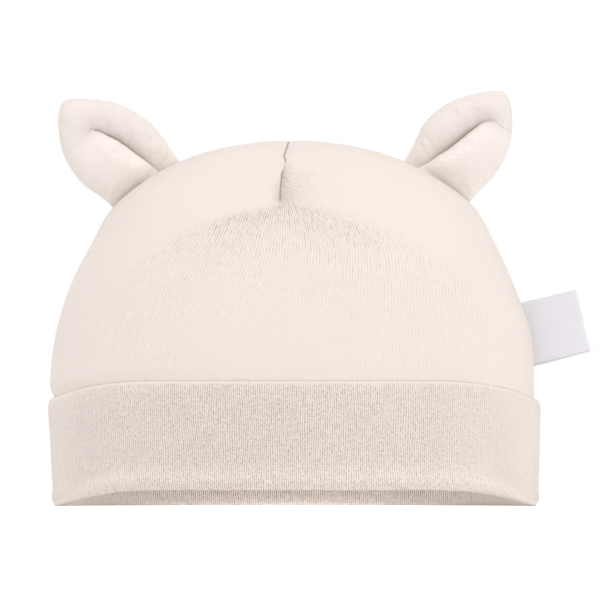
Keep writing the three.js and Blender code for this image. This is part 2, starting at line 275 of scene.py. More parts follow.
def make_piece(name, points, faces, maps=None, values=None):
    """A smooth mesh object riding on the root. maps are UV maps by corner, values are point values."""
    mesh = bpy.data.meshes.new(name)
    mesh.from_pydata((np.asarray(points) * MM).tolist(), [], [list(map(int, f)) for f in faces])
    for key, corners in (maps or {}).items():
        layer = mesh.uv_layers.new(name=key)
        layer.data.foreach_set("uv", np.asarray(corners, np.float32).ravel())
    for key, column in (values or {}).items():
        attribute = mesh.attributes.new(key, "FLOAT", "POINT")
        attribute.data.foreach_set("value", np.asarray(column, np.float32).ravel())
    mesh.polygons.foreach_set("use_smooth", [True] * len(mesh.polygons))
    mesh.update()
    piece = bpy.data.objects.new(name, mesh)
    bpy.context.scene.collection.objects.link(piece)
    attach(piece, "root")
    return piece


def shell_faces(rows, columns, start=None, end=None, ring=False):
    """Faces of loops of points, with a point at each end, or with the last loop joined to the first."""
    faces = []
    for band in range(rows if ring else rows - 1):
        low, high = band * columns, ((band + 1) % rows) * columns
        for i in range(columns):
            j = (i + 1) % columns
            faces.append((low + i, low + j, high + j, high + i))
    if start is not None:
        top = (rows - 1) * columns
        for i in range(columns):
            j = (i + 1) % columns
            faces.append((start, j, i))
            faces.append((end, top + i, top + j))
    return faces


def face_out(faces, points):
    """Turns a closed mesh's faces outwards if they face in."""
    corners = np.array([(f[0], f[k], f[k + 1]) for f in faces for k in range(1, len(f) - 1)])
    a, b, c = (points[corners[:, k]] for k in range(3))
    volume = (a * np.cross(b, c)).sum()
    return [tuple(reversed(f)) for f in faces] if volume < 0 else faces


def soft_noise(points, scale, seed):
    """Smooth noise from -1 to 1 at each point, with features of about scale millimetres."""
    shift = Vector((seed * 17.3, seed * 5.1, seed * 9.7))
    flat = points.reshape(-1, 3)
    made = [noise.noise(Vector(p / scale) + shift) for p in flat]
    return np.array(made).reshape(points.shape[:-1])


# --- Crown ---

QUARTER = 84  # columns from one seam to the next
OUTER_ROWS = 150
INNER_ROWS = 44
SEAM_CROWDING = 0.35  # how much closer the columns stand beside a seam
FRONT = 1.5 * math.pi  # the angle of the middle of the front
BACK = 0.5 * math.pi
POLE_DIP = 0.35  # how much lower than the hat's height the seams' crossing lies


def crown_angles():
    share = np.arange(QUARTER) / QUARTER
    eased = (1 - SEAM_CROWDING) * share + SEAM_CROWDING * (1 - np.cos(math.pi * share)) / 2
    return np.concatenate([(quarter + eased) * math.pi / 2 for quarter in range(4)])


def bent_to_dart(angles, positions):
    """Columns turned a little, so that the front and back middle ones run down the dart's line."""
    height = HAT_HEIGHT * spline(CROWN, "height", positions)
    height = height + lift_at(FRONT, height)
    half = CROWN_HALF_WIDTH * np.maximum(spline(CROWN, "right", positions), 0.02)
    reach = np.minimum(np.abs(dart_at(height)) / half, 0.45)
    turn = np.arcsin(reach ** (spline(CROWN, "square", positions) / 2))
    turn *= smoothstep(height, HAT_HEIGHT - DART_LENGTH - 26, HAT_HEIGHT - DART_LENGTH)
    bent = np.broadcast_to(angles, (len(positions), len(angles))).copy()
    for middle, way in ((FRONT, -1), (BACK, 1)):
        bent += way * turn[:, None] * bell(angles - middle, 0.5)[None]
    return bent


NET_STEP = 4  # the stitch coordinates are solved at every so many columns and rows


def resampled(values, known, wanted, axis):
    """Values along an axis at the wanted places, in straight lines between the known ones."""
    return np.apply_along_axis(lambda line: np.interp(wanted, known, line), axis, values)


def knit_over_front(angles, positions):
    """Stitch coordinates (wale, course) over the crown's front half, each side of the dart's line.

    They follow the wales' leans in WALES as well as an even pitch allows, by least squares over
    a coarse net of the same columns and rows. The net is cut along the dart.
    """
    columns = list(range(0, len(angles), NET_STEP))
    rows = list(range(0, len(positions), NET_STEP))
    if rows[-1] != len(positions) - 1:
        rows.append(len(positions) - 1)
    net_angles = bent_to_dart(angles, positions)[np.ix_(rows, columns)]
    net_positions = np.broadcast_to(positions[rows][:, None], net_angles.shape)
    net = plain_crown(net_angles, net_positions)
    normal = crown_normal(net_angles, net_positions)
    x, z = net[..., 0], net[..., 2]

    def at(column):
        return np.interp(z, WALES["height"], WALES[column])

    lean = np.radians(at("lean")) * np.tanh((at("middle") - x) / at("reach"))
    upwards = unit(np.cross(normal, np.cross([0.0, 0.0, 1.0], normal)))
    sideways = np.cross(upwards, normal)
    in_photo = np.stack([np.sin(lean), np.zeros_like(lean), np.cos(lean)], -1)
    facing = np.minimum(normal[..., 1], -0.2)
    in_photo[..., 1] = -(in_photo * normal).sum(-1) / facing
    in_photo = unit(in_photo)
    turned = upwards * np.cos(lean)[..., None] + sideways * np.sin(lean)[..., None]
    trust = smoothstep(-normal[..., 1], 0.3, 0.7)[..., None]
    wale = unit(in_photo * trust + turned * (1 - trust))
    pitch = np.interp(z, WALE_PITCH["height"], WALE_PITCH["pitch"])
    across = np.cross(wale, normal) / pitch[..., None]
    along = wale / (pitch * COURSE_SHARE)[..., None]

    middle = len(columns) // 2
    ids = np.arange(len(rows) * len(columns)).reshape(len(rows), len(columns))
    right = ids[:, middle:].copy()
    cut = np.nonzero(z[:, middle] > HAT_HEIGHT - DART_LENGTH + 2)[0]
    right[cut, 0] = ids.size + np.arange(len(cut))
    halves = (ids[:, : middle + 1], slice(0, middle + 1)), (right, slice(middle, None))
    count = ids.size + len(cut)
    starts, ends, wanted = [], [], []
    for half, part in halves:
        for a, b in (((slice(None), slice(0, -1)), (slice(None), slice(1, None))),
                     ((slice(0, -1), slice(None)), (slice(1, None), slice(None)))):
            edge = net[:, part][b] - net[:, part][a]
            length = np.maximum(np.linalg.norm(edge, axis=-1), 0.3)
            for_wale = ((across[:, part][a] + across[:, part][b]) / 2 * edge).sum(-1)
            for_course = ((along[:, part][a] + along[:, part][b]) / 2 * edge).sum(-1)
            starts.append(half[a].ravel())
            ends.append(half[b].ravel())
            wanted.append(np.stack([for_wale.ravel(), for_course.ravel(), length.ravel()], -1))
    starts, ends, wanted = np.concatenate(starts), np.concatenate(ends), np.concatenate(wanted)
    weight = 1 / wanted[:, 2]
    matrix = np.zeros((count, count))
    np.add.at(matrix, (starts, starts), weight)
    np.add.at(matrix, (ends, ends), weight)
    np.add.at(matrix, (starts, ends), -weight)
    np.add.at(matrix, (ends, starts), -weight)
    side = np.zeros((count, 2))
    np.add.at(side, ends, wanted[:, :2] * weight[:, None])
    np.add.at(side, starts, -wanted[:, :2] * weight[:, None])
    matrix[ids[0, middle]] = 0
    matrix[ids[0, middle], ids[0, middle]] = 1
    side[ids[0, middle]] = 0
    solved = np.linalg.solve(matrix + np.eye(count) * 1e-9, side)
    made = []
    for half, part in halves:
        fine = np.arange(columns[part][0], columns[part][-1] + 1)
        by_column = resampled(solved[half], columns[part], fine, 1)
        made.append(resampled(by_column, rows, np.arange(len(positions)), 0))
    return made


# The knit shows in a fan under the dart, faintly low at the sides, and beside the dart.
FAN_TOP = 95.5  # above this height the cloth is drawn smooth, in the middle of the front
FAN_DROP = 6.5  # and how much lower that is 30 mm to a side
FAN_FADE = 13.5  # how far down the front the knit shows clearly
FAN_WIDTH = 42.0
FAN_TWO = ((-19.0, 11.0, 0.3), (20.0, 10.0, 0.24))  # where it shows most: place, width, strength
FAN_SIDES = ((-46.0, 16.0, 0.09), (38.0, 14.0, 0.05))
BESIDE_DART = ((0.6, 9.5), (0.26, 2.2))  # strength and width to the wearer's left and right of it


def patches(x, rows):
    """Soft patches across the hat, each with its place, width and strength."""
    return sum(strength * bell(x - place, width) for place, width, strength in rows)


def crown_relief(point):
    """How clearly the wales show at a point of the crown, from 0."""
    x, z = point[..., 0], point[..., 2]
    top = FAN_TOP - FAN_DROP * (x / 30) ** 2
    # The fan's top is softer on the wearer's left, and crisp under the dart's foot.
    soft = 3.0 + 4.0 * smoothstep(x, 6, 18) - 2.0 * bell(x + 2, 4.5)
    below = np.exp(-np.maximum(top - z, 0) / FAN_FADE)
    fan = (1 - smoothstep(z, top - soft, top + 0.5)) * below * bell(x, FAN_WIDTH)
    fan *= 0.82 + patches(x, FAN_TWO)
    lower = patches(x, FAN_SIDES) * (1 - smoothstep(z, 62, 84))
    away = x - dart_at(z)
    height = smoothstep(z, 93, 96) * (1 - smoothstep(z, 104, 108))
    left, right = (strength * bell(away, width) for strength, width in BESIDE_DART)
    beside = height * np.where(away > 0, left, right)
    return np.clip(0.05 + 1.05 * fan + lower + beside, 0, 1.7)


STROKES = 1.08  # how clearly the cut wales show beside the dart
STROKES_RIGHT = 1.9  # how far they reach to the wearer's right of it, in millimetres
STROKES_LEFT = 2.0  # and to the left at the dart's top
STROKES_WIDER = 3.2  # which is this much further at its foot


def dart_strokes(point):
    """How clearly the cut wales show where they run into the dart, from 0."""
    x, z = point[..., 0], point[..., 2]
    away = x - dart_at(z)
    foot = smoothstep(z, 95.0, 96.5)
    right = foot * (1 - smoothstep(z, 100.5, 103.5)) * bell(away, STROKES_RIGHT)
    reach = STROKES_LEFT + STROKES_WIDER * (1 - smoothstep(z, 96, 105))
    left = foot * (1 - smoothstep(z, 106.5, 109)) * bell(away, reach)
    return STROKES * np.where(away > 0, left, right)


def crown_waves(point):
    """Soft unevenness of the cloth, in millimetres."""
    broad = soft_noise(point * np.array([1, 1, 0.6]), 34.0, 1)
    fine = soft_noise(point, 11.0, 2)
    calm = smoothstep(point[..., 2], 40, 56) * (1 - 0.6 * smoothstep(point[..., 2], 104, 115))
    return (0.32 * broad + 0.07 * fine) * calm


def build_crown():
    angles = crown_angles()
    edge = float(position_at(CUFF_LEG + SEAM_GAP))
    top = len(CROWN["height"]) - 1
    outer_at = edge + (top - edge) * np.arange(OUTER_ROWS) / OUTER_ROWS
    inner_at = edge + (top - edge) * np.arange(INNER_ROWS) / INNER_ROWS
    outer_angles = bent_to_dart(angles, outer_at)
    inner_angles = bent_to_dart(angles, inner_at)
    outer_position = np.broadcast_to(outer_at[:, None], outer_angles.shape)
    inner_position = np.broadcast_to(inner_at[:, None], inner_angles.shape)
    outer = crown_point(outer_angles, outer_position, 0.0)
    outer += crown_normal(outer_angles, outer_position) * crown_waves(outer)[..., None]
    inner = crown_point(inner_angles, inner_position, -CROWN_WALL)
    loops = np.concatenate([inner[::-1], outer])
    count = loops.shape[0] * loops.shape[1]
    pole = HAT_HEIGHT - POLE_DIP
    poles = np.array([[0, 0, pole - CROWN_WALL], [0, 0, pole]])
    points = np.concatenate([loops.reshape(-1, 3), poles]) + MIDDLE
    faces = shell_faces(loops.shape[0], loops.shape[1], count, count + 1)
    faces = face_out(faces, points)

    # Painted light on the crown just above the cuff's lip, where the shade of the lip's contact falls.
    above_cuff = HAT_HEIGHT * spline(CROWN, "height", outer_position) - CUFF_HEIGHT
    painted_light_by_cuff = bell(above_cuff, 1.6)

    # Stitch coordinates. The back half takes the front's, mirrored.
    front = list(range(2 * QUARTER, 4 * QUARTER)) + [0]
    front_angles = angles[front].copy()
    front_angles[-1] = 2 * math.pi
    left_half, right_half = knit_over_front(front_angles, outer_at)
    stitch = [right_half[:, ::-1], left_half[:, ::-1], left_half, right_half]
    corners = []
    columns = len(angles)
    for face in faces:
        ring = [i % columns for i in face if i < count]
        wraps = max(ring) - min(ring) > columns / 2
        quarter = (max(ring) if wraps else min(ring)) // QUARTER
        for i in face:
            row, column = divmod(i, columns)
            if i >= count:
                row = INNER_ROWS + OUTER_ROWS - 1 if i == count + 1 else 0
                column = ring[0]
            local = (column - quarter * QUARTER) % columns
            if row >= INNER_ROWS:
                corners.append(stitch[quarter][row - INNER_ROWS, local])
            else:
                corners.append(((quarter * QUARTER + local) * 1.2, (INNER_ROWS - row) * 3.2))
    own = points - MIDDLE
    outside = np.ones(len(points))
    outside[: INNER_ROWS * columns] = 0
    outside[count] = 0
    values = {
        "dart": own[:, 0] - dart_at(own[:, 2]),
        "seam": own[:, 1],
        "relief": crown_relief(own) * outside,
        "strokes": dart_strokes(own) * outside,
        "pale": np.concatenate([np.zeros(INNER_ROWS * columns), painted_light_by_cuff.ravel(), [0, 0]]),
    }
    return make_piece("crown_jersey", points, faces, {"stitch": corners}, values)


# --- Cuff ---

CUFF_COLUMNS = 4 * 110
CUFF_PITCH = 0.68
# How clearly the wales show across the cuff: most in the middle and to the wearer's right of it.
CUFF_KNIT = table(
    "across relief",
    (-78, 0.34), (-71, 0.42), (-58, 0.62), (-46, 0.8), (-33, 1.0), (-18, 1.04),
    (0, 0.96), (17, 0.9), (30, 0.84), (43, 0.86), (56, 0.56), (70, 0.3),
)
NO_DART = 99.0  # the distance to a dart, on a piece that has none
LIP_HEIGHT = 5.0  # over this height the free edge rolls in to the crown
LIP_THINNING = 0.62
LIP_DRAW = 0.42
LIP_END_DRAW = 0.35  # the same, further, at the two ends


def cuff_middle_line():
    inner, outer = -CUFF_WALL / 2, CUFF_STAND_OFF + CUFF_WALL / 2
    radius = (outer - inner) / 2
    fold = radius + CUFF_WALL / 2 - RIM_FLAT
    line = [(inner, h) for h in np.linspace(CUFF_LEG, fold, 9)[:-1]]
    for turned in np.linspace(0, math.pi, 15):
        line.append(((inner + outer) / 2 - radius * math.cos(turned), fold - radius * math.sin(turned)))
    for share in np.concatenate([np.linspace(0, 0.84, 36)[1:], np.linspace(0.84, 1, 16)[1:]]):
        height = fold + share * (CUFF_HEIGHT - CUFF_WALL / 2 - fold)
        swell = ROLL_SWELL * math.sin(math.pi * min(1, height / ROLL_HEIGHT)) ** 2
        line.append((outer + swell + CUFF_FLARE * float(smoothstep(share, 0.5, 1)), height))
    return np.array(line)


def cuff_section():
    """The strip's closed outline as (outset, height, length run along the cloth)."""
    line = cuff_middle_line()
    half = CUFF_WALL / 2
    ends = np.concatenate([line[:1], line, line[-1:]])
    way = ends[2:] - ends[:-2]
    square = np.stack([way[:, 1], -way[:, 0]], 1)
    square /= np.linalg.norm(square, axis=1)[:, None]
    run = np.concatenate([[0], np.cumsum(np.linalg.norm(np.diff(line, axis=0), axis=1))])
    outside = np.column_stack([line + square * half, run])
    inside = np.column_stack([line - square * half, 2 * run[-1] + 2.4 - run])[::-1]
    edge = []
    for degrees in range(20, 180, 20):
        turned = math.radians(degrees)
        edge.append((line[-1, 0] + half * math.cos(turned), line[-1, 1] + half * math.sin(turned),
                     run[-1] + half * turned))
    outline = np.concatenate([outside, np.array(edge), inside])
    outline[:, 1] = np.maximum(outline[:, 1], 0)
    return outline


def build_cuff():
    outline = cuff_section()
    share = np.arange(CUFF_COLUMNS) / CUFF_COLUMNS
    angles = 2 * math.pi * share
    grid = np.broadcast_to(angles[None], (len(outline), CUFF_COLUMNS))
    outset = np.broadcast_to(outline[:, :1], grid.shape)
    height = np.broadcast_to(outline[:, 1:2], grid.shape)
    ends = smoothstep(np.abs(np.cos(grid)), 0.8, 1.0)
    risen = np.clip((height - CUFF_HEIGHT + LIP_HEIGHT) / LIP_HEIGHT, 0, 1) * (outset > 0.2)
    roll = 1 - np.sqrt(np.maximum(0, 1 - risen**2.4))
    inner_leg = CUFF_STAND_OFF + CUFF_FLARE * smoothstep(height / CUFF_HEIGHT, 0.5, 1)
    thinned = (outset - inner_leg) * (1 - LIP_THINNING * roll)
    rolled = inner_leg + thinned - (LIP_DRAW + LIP_END_DRAW * ends) * roll
    points = cuff_point(grid, height, np.where(roll > 0, rolled, outset))
    normal = unit((points - points.mean((0, 1))) * np.array([1.0, 2.2, 0.0]))
    # The outer leg is a little uneven, more so along its free edge and at the two ends.
    free = smoothstep(height, 9, CUFF_HEIGHT) * (outset > 0.2) * (1 - 0.7 * roll)
    # The rim's soft roll, which runs out towards the bottom corners.
    to_end = np.abs(points[..., 0])
    roll_top = SOFT_ROLL_HEIGHT * (1 - 0.8 * smoothstep(to_end, 56, 75))
    up_roll = np.clip(height / roll_top, 0, 1)
    bulge = np.sin(math.pi * up_roll**0.55) ** 1.3 * (1 - smoothstep(to_end, 64, 77)) * (outset > 0.2)
    points = points + normal * (SOFT_ROLL * bulge)[..., None]
    wave = soft_noise(points * np.array([1, 1, 0.5]), 26.0, 3) * 0.34 + soft_noise(points, 9.0, 4) * 0.06
    points = points + normal * (wave * free * (0.75 + 0.5 * ends))[..., None]
    points[..., 2] += soft_noise(points * np.array([1, 1, 0]), 30.0, 5) * 0.22 * free
    round_it = plain_crown(np.linspace(0, 2 * math.pi, CUFF_COLUMNS + 1), 3.0)
    around = np.linalg.norm(np.diff(round_it, axis=0), axis=1)
    wale = np.concatenate([[0], np.cumsum(around)]) / CUFF_PITCH
    wale -= wale[3 * CUFF_COLUMNS // 4]
    flat = points.reshape(-1, 3) + MIDDLE
    faces = face_out(shell_faces(len(outline), CUFF_COLUMNS, ring=True), flat)
    corners = []
    course = np.append(outline[:, 2], 2 * outline[:, 2].max()) / (CUFF_PITCH * COURSE_SHARE)
    for face in faces:
        rows = [i // CUFF_COLUMNS for i in face]
        columns = [i % CUFF_COLUMNS for i in face]
        last_row = max(rows) - min(rows) > 1
        wraps = max(columns) - min(columns) > 1
        for row, column in zip(rows, columns):
            row = len(outline) if last_row and row == 0 else row
            column = CUFF_COLUMNS if wraps and column == 0 else column
            corners.append((wale[column], course[row]))
    own = flat - MIDDLE
    relief = np.interp(own[:, 0], CUFF_KNIT["across"], CUFF_KNIT["relief"])
    relief *= 1 - 0.9 * smoothstep(height.ravel(), CUFF_HEIGHT - 1.3, CUFF_HEIGHT - 0.2)
    # Round the rim on the inner leg, the knit's relief grows with height: deeper stitches, and darker
    # furrows as painted shade under the front rim.
    deeper_knit_and_shade_inside = 1.0 + 1.1 * smoothstep(height.ravel(), 1.5, 4.5)
    relief = np.where((outset.ravel() < 0.2) & (height.ravel() < 12), deeper_knit_and_shade_inside * relief, relief)
    # Painted light on the outer leg: a painted highlight over the rim's roll, painted light along the lip
    # against the shade where it meets the crown, and painted light at the two ends.
    outer_leg = (outset > 0.2) * 1.0
    pale = 0.75 * bell(height - 0.38 * roll_top, 0.3 * roll_top) * outer_leg
    pale += bell(height - CUFF_HEIGHT, 0.8)
    pale += 0.6 * smoothstep(to_end, 64, 75) * outer_leg
    values = {"seam": own[:, 1], "relief": relief, "dart": np.full(len(own), NO_DART), "pale": pale}
    return make_piece("cuff_jersey", flat, faces, {"stitch": corners}, values)


# --- Sewn-on pieces ---


def seat_on_seam(side, height, tilt):
    """Origin and axes of a piece's own frame: up along the seam, to the back, and out of the crown."""
    angle = 0.0 if side > 0 else math.pi
    turn = math.radians(tilt)
    upwards = np.array([-side * math.cos(turn), 0.0, math.sin(turn)])
    outwards = np.array([side * math.sin(turn), 0.0, math.cos(turn)])
    origin = crown_point(np.array(angle), position_at(height), 0.0) + MIDDLE
    return origin, np.stack([upwards, [0.0, 1.0, 0.0], outwards])


def crown_tree(crown):
    """The crown's faces, in millimetres, for finding where a piece meets it."""
    mesh = crown.data
    points = [v.co / MM for v in mesh.vertices]
    return BVHTree.FromPolygons(points, [tuple(p.vertices) for p in mesh.polygons])


TUCK = 0.35  # how far a sewn-on piece runs into the seam


def cut_to_crown(local, origin, axes, tree):
    """Pushes the part of a piece that lies within the crown out along its reach, to just under it."""
    flat = local.reshape(-1, 3).copy()
    out = Vector(axes[2])
    for i, (across, back, along) in enumerate(flat):
        if along > 9:
            continue
        start = Vector(origin + axes[0] * across + axes[1] * back) + out * 30
        hit = tree.ray_cast(start, -out, 60)
        if hit[0] is not None:
            flat[i, 2] = max(along, 30 - hit[3] - TUCK)
    return flat.reshape(local.shape)


# --- Ears ---

EAR_ROWS = 84
UPPER_STEPS = 34
LOWER_STEPS = 34
BACK_STEPS = 40
PLEAT_OVERLAP = 1.1  # how far the lower lobe laps over the pleat, in millimetres
LAP_PLACE = 0.8  # how far from the pleat's line it laps most
SEWN_EDGE = 0.8  # how far the stitching holds the cloth beside the edge, and beside the pleat
SEWN_PLEAT = 1.0
LOBE_LEAN = (24, -14)  # degrees that the knit leans on the lower and the upper lobe
EAR_PITCH = 0.6
LOBE_RISE = 0.22  # how much prouder the lower lobe stands beside the pleat
BASE_DRAW = 0.5  # how much of the ear's thickness is drawn in at its sewn base
BASE_REACH = 1.5

# The pleat's line on each ear: across as a share of the half width, along as a share of the length,
# and how strongly it is held. It turns round the end of the lower lobe and fades out there.
PLEAT_LINES = {
    "ear_right": table(
        "across along hold",
        (0.42, -0.14, 0.9), (0.385, 0.0, 0.95), (0.34, 0.12, 1.0),
        (0.295, 0.221, 1.0), (0.255, 0.327, 1.0), (0.2, 0.427, 1.0),
        (0.125, 0.515, 0.95), (0.07, 0.6, 0.8), (0.01, 0.645, 0.62),
        (-0.087, 0.65, 0.45), (-0.24, 0.615, 0.22), (-0.38, 0.57, 0.0),
    ),
    "ear_left": table(
        "across along hold",
        (0.58, -0.14, 0.8), (0.48, 0.0, 0.85), (0.39, 0.08, 0.9),
        (0.305, 0.184, 1.0), (0.215, 0.278, 1.0), (0.145, 0.382, 1.0),
        (0.08, 0.493, 1.0), (0.01, 0.597, 0.95), (-0.03, 0.662, 0.85),
        (-0.13, 0.712, 0.65), (-0.265, 0.738, 0.28), (-0.45, 0.742, 0.0),
    ),
}


def ear_face(row, across, thickness):
    middle = (row["upper"] - row["lower"]) / 2
    half = np.maximum((row["upper"] + row["lower"]) / 2, 1e-6)
    off = np.clip(np.abs(across - middle) / half, 0, 1)
    return thickness * row["thick"] * np.sqrt(np.maximum(0, 1 - off**EAR_ROUNDNESS))


def pleat_near(pleat, across, along):
    """Distance in millimetres to a pleat's line, and how strongly it is held near there."""
    line = np.stack([pleat["across"] * EAR_HALF_WIDTH, pleat["along"] * EAR_LENGTH], -1)
    spot = np.stack([across, along], -1)
    nearest = np.full(across.shape, 1e9)
    held, weight = np.zeros(across.shape), np.zeros(across.shape)
    for a, b, hold_a, hold_b in zip(line, line[1:], pleat["hold"], pleat["hold"][1:]):
        step = b - a
        share = np.clip(((spot - a) * step).sum(-1) / (step @ step), 0, 1)
        away = np.linalg.norm(spot - a - share[..., None] * step, axis=-1)
        near = 1 / (away + 0.4) ** 3
        nearest = np.minimum(nearest, away)
        held += near * (hold_a + (hold_b - hold_a) * share)
        weight += near
    return nearest, held / weight


PUFF_SCALE = 10.0  # the filling swells a copy this much bigger, on which the cloth solver is steady
PUFF_PRESSURE = 4.0
PUFF_FRAMES = 20
PUFF_CAP = 1.2  # the furthest that a point may move, in millimetres
PUFF_START = 0.9  # the ear starts this share as thick
PUFF_SLACK = 0.02  # how much more cloth there is than the sewn-down shape needs


def puffed(points, faces, held):
    """Points of a padded piece once its filling has swelled it, simulated as cloth under pressure.

    held is how firmly each point is sewn down, from 0 to 1."""
    middle = points.mean(0)
    mesh = bpy.data.meshes.new("puff")
    mesh.from_pydata(((points - middle) * MM * PUFF_SCALE).tolist(), [], [list(map(int, f)) for f in faces])
    copy = bpy.data.objects.new("puff", mesh)
    bpy.context.scene.collection.objects.link(copy)
    group = copy.vertex_groups.new(name="held")
    for i in np.nonzero(held > 0.01)[0]:
        group.add([int(i)], float(held[i]), "REPLACE")
    cloth = copy.modifiers.new("cloth", "CLOTH")
    cloth.settings.quality = 5
    cloth.settings.use_pressure = True
    cloth.settings.uniform_pressure_force = PUFF_PRESSURE
    cloth.settings.effector_weights.gravity = 0
    cloth.settings.vertex_group_mass = "held"
    cloth.settings.shrink_min = -PUFF_SLACK
    cloth.collision_settings.use_collision = False
    cloth.point_cache.frame_start = 1
    cloth.point_cache.frame_end = PUFF_FRAMES
    for step in range(1, PUFF_FRAMES + 1):
        bpy.context.scene.frame_set(step)
    shown = copy.evaluated_get(bpy.context.evaluated_depsgraph_get())
    swelled = np.zeros(len(points) * 3)
    shown.data.vertices.foreach_get("co", swelled)
    moved = swelled.reshape(-1, 3) / (MM * PUFF_SCALE) + middle - points
    bpy.data.objects.remove(copy)
    bpy.data.meshes.remove(mesh)
    bpy.context.scene.frame_set(1)
    far = np.linalg.norm(moved, axis=1)
    return points + moved * (np.minimum(far, PUFF_CAP) / np.maximum(far, 1e-9))[:, None]


def build_ear(name, side, tilt, seat, length_share, width_share, overlap, trim, tree):
    pleat = PLEAT_LINES[name]
    end = pleat["along"].argmax()
    length, half_width = EAR_LENGTH * length_share, EAR_HALF_WIDTH * width_share
    origin, axes = seat_on_seam(side, EAR_SEAT * seat, tilt)
    position = (len(EAR["along"]) - 1) * np.arange(EAR_ROWS)[:, None] / EAR_ROWS
    row = {column: spline(EAR, column, position) for column in EAR}
    by_root = bell(row["along"] - 0.08, 0.24)
    row["upper"] = row["upper"] * (1 - trim[0] * by_root)
    row["lower"] = row["lower"] * (1 - trim[1] * by_root)
    last_across, last_along = pleat["across"][end], pleat["along"][end]
    on_line = np.interp(row["along"], pleat["along"][: end + 1], pleat["across"][: end + 1])
    past_line = last_across * (1 - row["along"]) / (1 - last_along)
    row["pleat"] = np.where(row["along"] < last_along, on_line, past_line)
    ease_up = np.linspace(0, 1, UPPER_STEPS, endpoint=False)
    ease_up = np.sin(ease_up * math.pi / 2) ** 0.9
    ease_low = np.linspace(0, 1, LOWER_STEPS, endpoint=False)
    ease_low = ease_low**1.5 * (1 - ease_low) + (1 - np.cos(ease_low * math.pi / 2)) * ease_low
    upper = row["upper"] + (row["pleat"] - row["upper"]) * ease_up[None]
    lower = row["pleat"] + (-row["lower"] - row["pleat"]) * ease_low[None]
    across = np.concatenate([upper, lower], axis=1)
    along = np.broadcast_to(row["along"], across.shape)
    away, fold = pleat_near(pleat, across * EAR_HALF_WIDTH, along * EAR_LENGTH)
    on_lower = (across < row["pleat"]) & (along < last_along)
    reach = np.where(on_lower, PLEAT_LOWER_REACH * (0.8 + 5.0 * (1 - fold)), PLEAT_UPPER_REACH)
    open_share = 1 - fold * (PLEAT_DEPTH + 0.16) * np.exp(-away / reach)
    open_share = open_share * (1 + LOBE_RISE * fold * on_lower * bell(away - 3, 3))
    drawn = 1 - BASE_DRAW * np.exp(-np.maximum(along * length - 0.6, 0) / BASE_REACH)
    stand = ear_face(row, across, EAR_FRONT) * open_share * drawn
    lap = np.where(on_lower, (away / LAP_PLACE) * np.exp(1 - away / LAP_PLACE), 0)
    lap = overlap * fold * smoothstep(fold, 0.6, 0.9) * lap
    front = np.stack([across * half_width + lap, -stand, along * length], -1)
    turned = (1 - np.cos(math.pi * np.arange(BACK_STEPS) / BACK_STEPS)) / 2
    behind = -row["lower"] + (row["upper"] + row["lower"]) * turned[None]
    back = np.stack([behind * half_width, ear_face(row, behind, EAR_BACK),
                     np.broadcast_to(row["along"] * length, behind.shape)], -1)
    local = np.concatenate([front, back], axis=1)
    columns = local.shape[1]
    count = local.shape[0] * columns
    root = np.array([[0, 0, local[0, 0, 2]]])
    tip = np.array([[0, 0, length]])
    faces = shell_faces(EAR_ROWS, columns, count, count + 1)
    in_front = across.shape[1]
    # Sewn down at the base, round the edge and along the pleat, the filling swells it between them.
    place = np.concatenate([across, behind], axis=1)
    from_edge = np.minimum(row["upper"] - place, place + row["lower"]) * half_width
    held = np.maximum(bell(from_edge, SEWN_EDGE), 1 - smoothstep(local[..., 2], 0.5, 6.0))
    sewn = fold * bell(away, SEWN_PLEAT)
    held[:, :in_front] = np.maximum(held[:, :in_front], sewn)
    start = np.concatenate([(local * [1, PUFF_START, 1]).reshape(-1, 3), root, tip])
    swelled = puffed(start, face_out(faces, start), np.append(held.ravel(), [1, 1]))
    local = swelled[:count].reshape(local.shape)
    # Soft dents, and a slight pucker along the sewn edge.
    swell = soft_noise(local + 40 * side, 9.0, 6) * 0.28 + soft_noise(local + 40 * side, 4.0, 7) * 0.05
    toward = np.zeros_like(local)
    toward[..., 1] = np.sign(local[..., 1]) * swell * np.minimum(1, np.abs(local[..., 1]) / 2.0)
    local = local + toward
    plain = np.concatenate([local.reshape(-1, 3), root, tip])
    whole = cut_to_crown(plain, origin, axes, tree)
    points = origin + whole @ axes
    faces = face_out(faces, points)
    corners = []
    lower_lean, upper_lean = np.radians(LOBE_LEAN)
    for face in faces:
        ring = [i % columns for i in face if i < count]
        wraps = max(ring) - min(ring) > columns / 2
        first = max(ring) if wraps else min(ring)
        lean = upper_lean if first < UPPER_STEPS else lower_lean if first < in_front else 0.0
        for i in face:
            x, _, z = plain[i]
            corners.append(((x * math.cos(lean) + z * math.sin(lean)) / EAR_PITCH,
                            (z * math.cos(lean) - x * math.sin(lean)) / (EAR_PITCH * COURSE_SHARE)))
    edge = np.minimum(np.abs(whole[:, 1]), 9.0)
    by_base = bell(np.maximum(plain[:, 2] - 1.5, 0), 5.0)
    by_base *= smoothstep(-plain[:, 0], -2.0, 1.5) * 0.75 + 0.25
    upper_side = np.zeros(local.shape[:2])
    upper_side[:, :in_front] = np.exp(-away / 3.0) * fold * ~on_lower
    relief = 0.05 + 0.5 * by_base + 0.35 * np.append(upper_side.ravel(), [0, 0])
    relief *= min(1.0, 0.35 + 0.6 * overlap)
    # Painted light and shade: a painted highlight on the lower lobe beside the pleat, and painted shade on
    # the upper one beside it.
    ear_painted_shading = np.zeros(local.shape[:2])
    lobe = (across < row["pleat"]) * smoothstep(last_along - along, -0.03, 0.1)
    lobe_highlight = 0.55 * fold * bell(away - 2.5, 3.5)
    pleat_shade = 0.5 * np.exp(-away / 7.0) + 1.2 * fold * bell(away, 2.4)
    ear_painted_shading[:, :in_front] = lobe_highlight * lobe - pleat_shade * (1 - lobe)
